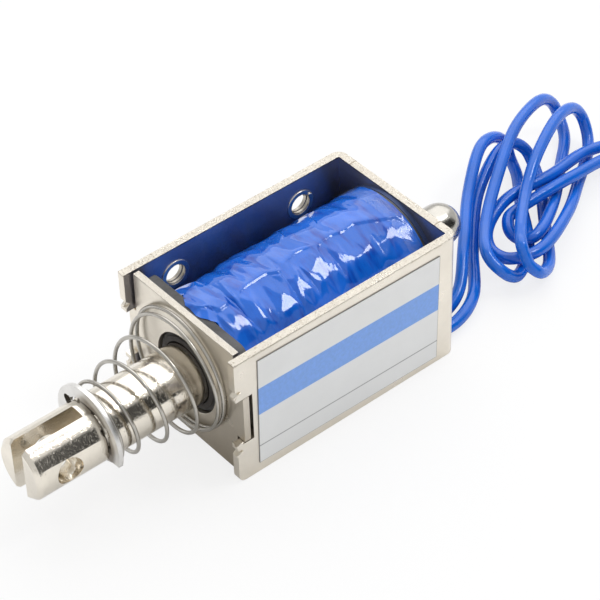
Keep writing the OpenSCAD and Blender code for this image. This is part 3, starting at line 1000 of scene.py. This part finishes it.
        with opened(mesh, 2e-6) as shape:
            bmesh.ops.recalc_face_normals(shape, faces=shape.faces)
            out = sum(f.normal.dot(from_axis(f.calc_center_median())) for f in shape.faces)
            if out < 0:
                bmesh.ops.reverse_faces(shape, faces=shape.faces)
            for front, rear, high in ((self.INSIDE, self.UNDER, self.REAR),
                                      (self.INSIDE, self.UNDER, self.REAR_FLANGE),
                                      (self.INSIDE, self.INSIDE, self.REAR_FLANGE)):
                rim = [e for e in shape.edges if e.is_boundary]
                made = bmesh.ops.extrude_edge_only(shape, edges=rim)["geom"]
                for vert in (g for g in made if isinstance(g, bmesh.types.BMVert)):
                    flat = from_axis(vert.co).normalized() * MM
                    flat *= front if vert.co.y < 0 else rear
                    along = min(max(vert.co.y, self.FLANGE * MM), high * MM)
                    vert.co = Vector((flat.x, along, flat.z + AXIS_Z))
            bmesh.ops.bridge_loops(shape, edges=[e for e in shape.edges if e.is_boundary])

    def tape(self, s):
        """Glossy film that is deeper where it lies double, with a fine weave."""
        material, g = start_material("Coil tape", IOR=1.5, Specular_IOR_Level=0.32, Coat_Weight=0.6,
                                     Coat_Roughness=0.05, Coat_IOR=1.5)
        vector = g.coords()
        streaks = g.noise(g.mapped(vector, (0.22, 1, 0.22)), 900, 4, 0.6)
        clouds = g.noise(vector, 190, 3, 0.55)
        light = tuple(min(1, c * 1.25 + 0.012) for c in s.colour)
        colour = g.blend(g.remap(streaks, 0.34, 0.52), s.deep, s.colour)
        weave = g.plus(g.noise(g.mapped(vector, (1, 0.10, 1)), 8000, 1, 0.5),
                       g.noise(g.mapped(vector, (0.10, 1, 0.10)), 8000, 1, 0.5))
        g.dress(Base_Color=g.blend(g.remap(clouds, 0.46, 0.70), colour, light),
                Roughness=g.remap(clouds, 0.3, 0.7, 0.07, 0.14),
                Normal=g.bump(weave, 0.0000045))
        return material


class SOLENOID_OT_bobbin(bpy.types.Operator):
    """Finish the moulded bobbin, the coil inside it and the insulation at its ends"""
    bl_idname = "solenoid.bobbin"
    bl_label = "Bobbin"

    def execute(self, context):
        obj = copy_of("bobbin", "bobbin_body")
        round_edges(obj, 0.06 * MM)
        obj.data.materials.append(self.moulded())
        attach(obj, "housing")
        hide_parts("bobbin")
        dress_node("rear_washer", self.board())
        copper = self.magnet_wire()
        dress_node("winding", copper)
        dress_node("coil_ends", copper)
        dress_node("inner_layer", self.inner_film())
        dress_node("lead_joints", self.solder())
        return {"FINISHED"}

    def moulded(self):
        """Dull plastic, darker on the collar in front of the plate."""
        material, g = start_material("Moulded bobbin")
        vector = g.coords()
        grain, stain = g.grain(vector, 2600.0, 300.0)
        plain = g.blend(g.remap(stain, 0.35, 0.7), (0.115, 0.115, 0.120), (0.060, 0.058, 0.056))
        collar = g.remap(g.split(vector)[1], PLATE_HIGH.y - 0.0004, PLATE_HIGH.y - 0.0008)
        height = g.plus(g.times(g.noise(vector, 1100, 3, 0.6), 5.0), grain)
        g.dress(Base_Color=g.blend(collar, plain, (0.040, 0.034, 0.030)),
                Roughness=g.remap(grain, 0.3, 0.7, 0.62, 0.85),
                Normal=g.bump(height, 0.000014))
        return material

    def board(self):
        return speckled_material("Insulating board", (3000, 4, 0.6),
                                 ((0.02, 0.04, 0.12), (0.04, 0.07, 0.18)),
                                 depth=0.00001, Roughness=0.6)

    def magnet_wire(self):
        return speckled_material("Magnet wire", (6000, 2, 0.5), ((0.55, 0.22, 0.08), (0.75, 0.35, 0.15)),
                                 (0.02, 1, 0.02), (0.25, 0.4), 0.00002, Metallic=0.9)

    def inner_film(self):
        return speckled_material("Inner film", (900, 3, 0.6), ((0.72, 0.60, 0.28), (0.80, 0.70, 0.40)),
                                 rough=(0.2, 0.35))

    def solder(self):
        return speckled_material("Solder", (2500, 3, 0.6), ((0.66, 0.66, 0.64), (0.5, 0.5, 0.48)),
                                 rough=(0.25, 0.45), depth=0.00003, Metallic=1.0)


class SOLENOID_OT_clear_film(bpy.types.Operator):
    """Finish the clear film round the rear end of the coil"""
    bl_idname = "solenoid.clear_film"
    bl_label = "Clear film"

    def execute(self, context):
        material, g = start_material("Clear film", Roughness=0.08, IOR=1.5)
        veil = g.noise(g.coords(), 1200, 2, 0.5)
        g.dress(Base_Color=g.blend(veil, (0.45, 0.60, 0.90), (0.60, 0.72, 0.95)),
                Alpha=g.remap(veil, 0.3, 0.7, 0.03, 0.09),
                Normal=g.bump(veil, 0.00002))
        dress_node("clear_film", material)
        return {"FINISHED"}


# ---------------------------------------------------------------- core, pin, plunger, clip, spring

class SOLENOID_OT_plunger(bpy.types.Operator):
    """Finish the slotted plunger, the push pin and the fixed core"""
    bl_idname = "solenoid.plunger"
    bl_label = "Plunger"

    def execute(self, context):
        s = context.scene.solenoid_metal
        obj = copy_of("plunger", "plunger_body")
        round_edges(obj, 0.07 * MM)
        obj.data.materials.append(self.turned("Turned plunger", s.nickel, 0.09, 0.18))
        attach(obj, "plunger_unit")
        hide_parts("plunger")
        pin = copy_of("push_pin", "push_pin_body")
        round_edges(pin, 0.05 * MM)
        pin.data.materials.append(self.turned("Turned pin", (0.50, 0.48, 0.44), 0.14, 0.22))
        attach(pin, "plunger_unit")
        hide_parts("push_pin")
        dress_node("fixed_core", self.turned("Turned core", s.nickel, 0.25, 0.4))
        return {"FINISHED"}

    def turned(self, name, colour, low, high):
        """Turned steel with fine rings, soft stains and small pits."""
        material, g = start_material(name, Metallic=1.0)
        vector = g.coords()
        grain, stain = g.grain(vector, 7000.0, 420.0)
        rings = g.noise(g.mapped(vector, (0.05, 1, 0.05)), 5200, 3, 0.6)
        pits = g.remap(g.noise(vector, 3600, 3, 0.6), 0.56, 0.70)
        height = g.minus(g.plus(g.times(rings, 0.9), g.times(grain, 0.9)), g.times(pits, 1.4))
        g.dress(Base_Color=g.stained(stain, colour, 0.88),
                Roughness=g.remap(stain, 0.3, 0.7, low, high),
                Normal=g.bump(height, 0.000004))
        return material


class SOLENOID_OT_clip(bpy.types.Operator):
    """Finish the stamped retaining clip"""
    bl_idname = "solenoid.clip"
    bl_label = "Retaining clip"

    # in millimetres: how far below the axis the legs end, how far out the two relief holes are,
    # how far they reach, and the drill's radius
    LEGS, OUT, REACH, DRILL = 2.15, 3.80, 0.85, 0.38
    # how many degrees from the top the holes are, and how the slot is turned and drawn out
    ROUND, TILT, DRAWN = 57, 56, 1.9

    def execute(self, context):
        obj = copy_of("retaining_clip", "clip_body")
        make_active(obj)
        bpy.ops.object.mode_set(mode="EDIT")
        bpy.ops.mesh.select_all(action="SELECT")
        bpy.ops.mesh.bisect(plane_co=(0, 0, AXIS_Z - self.LEGS * MM), plane_no=(0.12, 0, -1),
                            use_fill=True, clear_outer=True, clear_inner=False)
        bpy.ops.object.mode_set(mode="OBJECT")
        holes = [self.hole_place(side) for side in (-1, 1)]
        self.drill(obj, holes[1])
        round_edges(obj, 0.04 * MM)
        obj.data.materials.append(self.stamped())
        obj.data.materials.append(self.shadowed())
        # the faces inside the relief holes take the painted shade
        for face in obj.data.polygons:
            for hole in holes:
                reach = face.center - hole
                if math.hypot(reach.x, reach.z) < self.REACH * MM and abs(face.normal.y) < 0.5:
                    face.material_index = 1
        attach(obj, "clip_slide")
        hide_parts("retaining_clip")
        return {"FINISHED"}

    def stamped(self):
        """Bright stamped steel, brown with painted shade round the bore towards +x."""
        material, g = start_material("Clip steel", Metallic=1.0)
        vector = g.coords()
        x, y, z = g.split(vector)
        grain, stain = g.grain(vector)
        up = g.minus(z, AXIS_Z)
        out = g.math("SQRT", g.plus(g.times(x, x), g.times(up, up)))
        # painted shade: brown round the bore, fading out towards -x
        bore = g.times(g.remap(out, 0.0047, 0.0040, smooth=True),
                       g.remap(x, -0.0016, 0.0006, smooth=True), 0.85)
        steel = g.blend(g.remap(stain, 0.35, 0.7), (0.78, 0.77, 0.75), (0.70, 0.69, 0.67))
        lines = g.noise(g.mapped(vector, (0.03, 1, 1)), 7000, 3, 0.6)
        g.dress(Base_Color=g.blend(bore, steel, (0.20, 0.17, 0.14)),
                Roughness=g.remap(stain, 0.3, 0.75, 0.30, 0.42),
                Normal=g.bump(g.plus(lines, grain), 0.000003))
        return material

    def shadowed(self):
        """Painted shade: dark steel inside the relief holes."""
        material, g = start_material("Clip holes", Metallic=1.0)
        grain, stain = g.grain(g.coords())
        g.dress(Base_Color=g.stained(stain, (0.10, 0.09, 0.08), 0.90),
                Roughness=g.remap(stain, 0.3, 0.75, 0.45, 0.60),
                Normal=g.bump(grain, 0.0000015))
        return material

    def hole_place(self, side):
        angle = math.radians(90 + self.ROUND * side)
        return Vector((self.OUT * MM * math.cos(angle), (CLIP_LOW.y + CLIP_HIGH.y) / 2,
                       AXIS_Z + self.OUT * MM * math.sin(angle)))

    def drill(self, obj, place):
        """Open the clip further at one spot, along its round."""
        deselect_all()
        bpy.ops.mesh.primitive_cylinder_add(vertices=32, radius=self.DRILL * MM, depth=2 * MM,
                                            location=place, rotation=(math.pi / 2, 0, 0))
        cutter = bpy.context.active_object
        bpy.ops.transform.resize(value=(self.DRAWN, 1, 1))
        bpy.ops.transform.rotate(value=math.radians(self.TILT), orient_axis="Y")
        make_active(obj)
        cut = obj.modifiers.new("relief", "BOOLEAN")
        cut.operation = "DIFFERENCE"
        cut.object = cutter
        bpy.ops.object.modifier_apply(modifier=cut.name)
        bpy.data.objects.remove(cutter)


class SOLENOID_OT_spring(bpy.types.Operator):
    """Wind the conical return spring between the plate and the clip"""
    bl_idname = "solenoid.spring"
    bl_label = "Return spring"

    # rows by turn of the wire: how far it has risen, from 0 to 1, and how wide it is, from 1 to 0
    TURNS = (-0.5, 0, 0.5, 1, 1.5, 2, 2.5, 3, 3.5, 4, 4.5, 5, 5.5)
    LIFT = (0, 0.012, 0.045, 0.082, 0.18, 0.318, 0.46, 0.602, 0.745, 0.87, 0.956, 0.98, 1)
    CONE = (1, 1, 1, 0.93, 0.76, 0.57, 0.41, 0.27, 0.15, 0.07, 0.02, 0, 0)

    # in millimetres: the wire's radius, the wide and the narrow radius of the spring, and how far
    # the wide end sits to one side and up, as a loose spring does
    WIRE, WIDE, NARROW, ASIDE, LIFTED = 0.22, 7.02, 4.14, -0.50, 0.66
    # how many steps the wire has, and how many its bends are smoothed over
    STEPS, SOFT = 900, 20

    def execute(self, context):
        s = context.scene.solenoid_metal
        wire = self.WIRE * MM
        start, end = PLATE_LOW.y - wire, CLIP_HIGH.y + wire
        turns = np.linspace(self.TURNS[0], self.TURNS[-1], self.STEPS + 1)
        lift = self.softened(np.interp(turns, self.TURNS, self.LIFT))
        cone = self.softened(np.interp(turns, self.TURNS, self.CONE))
        big, small = self.WIDE * MM, self.NARROW * MM
        radius = small + (big - small) * cone
        aside, lifted = self.ASIDE * MM * cone ** 0.6, self.LIFTED * MM * cone ** 0.6
        angle = np.radians(90) + 2 * math.pi * turns
        line = [Vector((aside[i] + radius[i] * math.cos(angle[i]), start + (end - start) * lift[i],
                        AXIS_Z + lifted[i] + radius[i] * math.sin(angle[i])))
                for i in range(self.STEPS + 1)]
        obj = curve_to_mesh(wire_curve("spring_wire", line, wire, 3))
        obj.data.materials.append(self.drawn(s))
        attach(obj, "housing")
        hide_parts("return_spring")
        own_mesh(obj)
        return {"FINISHED"}

    def softened(self, values):
        """A row of values with its bends smoothed."""
        window = np.hanning(2 * self.SOFT + 1)
        window /= window.sum()
        return np.convolve(np.pad(values, self.SOFT, mode="edge"), window, mode="valid")

    def drawn(self, s):
        return grained_material("Spring wire", s.wire, 0.85, (8000.0, 700.0), (0.14, 0.26), 0.000002,
                                Metallic=1.0)


# ---------------------------------------------------------------- label

class SOLENOID_OT_label(bpy.types.Operator):
    """Lay the bare label with its printed band on the near wall"""
    bl_idname = "solenoid.label"
    bl_label = "Label"

    # the print is turned by some degrees; the rest is in millimetres: how soft its edges are, how
    # high the band and the rule lie, half the rule's width, and where the printed rim begins
    TURNED, SOFT, BAND, RULE, RULE_HALF = 1.1, 0.03, 1.5, -4.7, (0.09, 0.05)
    RIM_ALONG, RIM_UP = (12.17, 12.21), (7.02, 7.06)

    def execute(self, context):
        s = context.scene.solenoid_label
        obj = copy_of("label", "label_film")
        round_edges(obj, 0.025 * MM)
        obj.data.materials.append(self.film(s))
        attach(obj, "housing")
        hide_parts("label")
        return {"FINISHED"}

    def film(self, s):
        """Bare film with a band, a thin rule and a rim, and no text."""
        material, g = start_material("Label film")
        vector = g.coords()
        mid_y = (LABEL_LOW.y + LABEL_HIGH.y) / 2
        mid_z = (LABEL_LOW.z + LABEL_HIGH.z) / 2
        flat = g.mapped(vector, location=(0, -mid_y, -mid_z))
        x, y, z = g.split(g.mapped(flat, rotation=(math.radians(self.TURNED), 0, 0)))
        half, soft = s.band_height / 2, self.SOFT * MM
        band = g.remap(g.gap(z, self.BAND * MM), half + soft, half - soft)
        rule = g.remap(g.gap(z, self.RULE * MM), *(edge * MM for edge in self.RULE_HALF))
        rim_z, rim_y = (g.remap(g.math("ABSOLUTE", place), *(edge * MM for edge in edges))
                        for place, edges in ((z, self.RIM_UP), (y, self.RIM_ALONG)))
        fleck = g.noise(vector, 2600, 3, 0.6)
        cloud = g.noise(vector, 160, 3, 0.6)
        film = g.blend(g.remap(cloud, 0.3, 0.7), s.film, shaded(s.film, 0.95))
        ink = g.blend(g.remap(fleck, 0.3, 0.75), s.band, shaded(s.band, 1.18))
        colour = g.blend(band, film, ink)
        colour = g.blend(g.times(rule, 0.7), colour, (0.16, 0.16, 0.17))
        colour = g.blend(g.times(g.larger(rim_z, rim_y), 0.8), colour, (0.14, 0.13, 0.12))
        g.dress(Base_Color=colour,
                Roughness=g.remap(fleck, 0.3, 0.7, 0.42, 0.55),
                Normal=g.bump(fleck, 0.000004))
        return material


# ---------------------------------------------------------------- panel, register, main

OPERATORS = (
    SOLENOID_OT_stage, SOLENOID_OT_leads, SOLENOID_OT_frame, SOLENOID_OT_front_plate,
    SOLENOID_OT_bobbin, SOLENOID_OT_tape_wrap, SOLENOID_OT_clear_film, SOLENOID_OT_plunger,
    SOLENOID_OT_clip, SOLENOID_OT_spring, SOLENOID_OT_label,
)
SETTINGS = (
    ("solenoid_stage", SolenoidStageSettings), ("solenoid_metal", SolenoidMetalSettings),
    ("solenoid_tape", SolenoidTapeSettings), ("solenoid_label", SolenoidLabelSettings),
    ("solenoid_leads", SolenoidLeadSettings),
)


class SOLENOID_PT_panel(bpy.types.Panel):
    """Buttons for each group of pieces and their sizes and colours"""
    bl_idname = "SOLENOID_PT_panel"
    bl_label = "Solenoid"
    bl_space_type = "VIEW_3D"
    bl_region_type = "UI"
    bl_category = "Solenoid"

    def draw(self, context):
        for name, group in SETTINGS:
            settings = getattr(context.scene, name)
            for key in group.__annotations__:
                self.layout.prop(settings, key)
        for operator in OPERATORS:
            self.layout.operator(operator.bl_idname)


def register():
    for name, group in SETTINGS:
        bpy.utils.register_class(group)
        setattr(bpy.types.Scene, name, PointerProperty(type=group))
    for operator in OPERATORS:
        bpy.utils.register_class(operator)
    bpy.utils.register_class(SOLENOID_PT_panel)


def unregister():
    bpy.utils.unregister_class(SOLENOID_PT_panel)
    for operator in reversed(OPERATORS):
        bpy.utils.unregister_class(operator)
    for name, group in reversed(SETTINGS):
        delattr(bpy.types.Scene, name)
        bpy.utils.unregister_class(group)


def main():
    register()
    for operator in OPERATORS:
        area, name = operator.bl_idname.split(".")
        getattr(getattr(bpy.ops, area), name)()


if __name__ == "__main__":
    main()
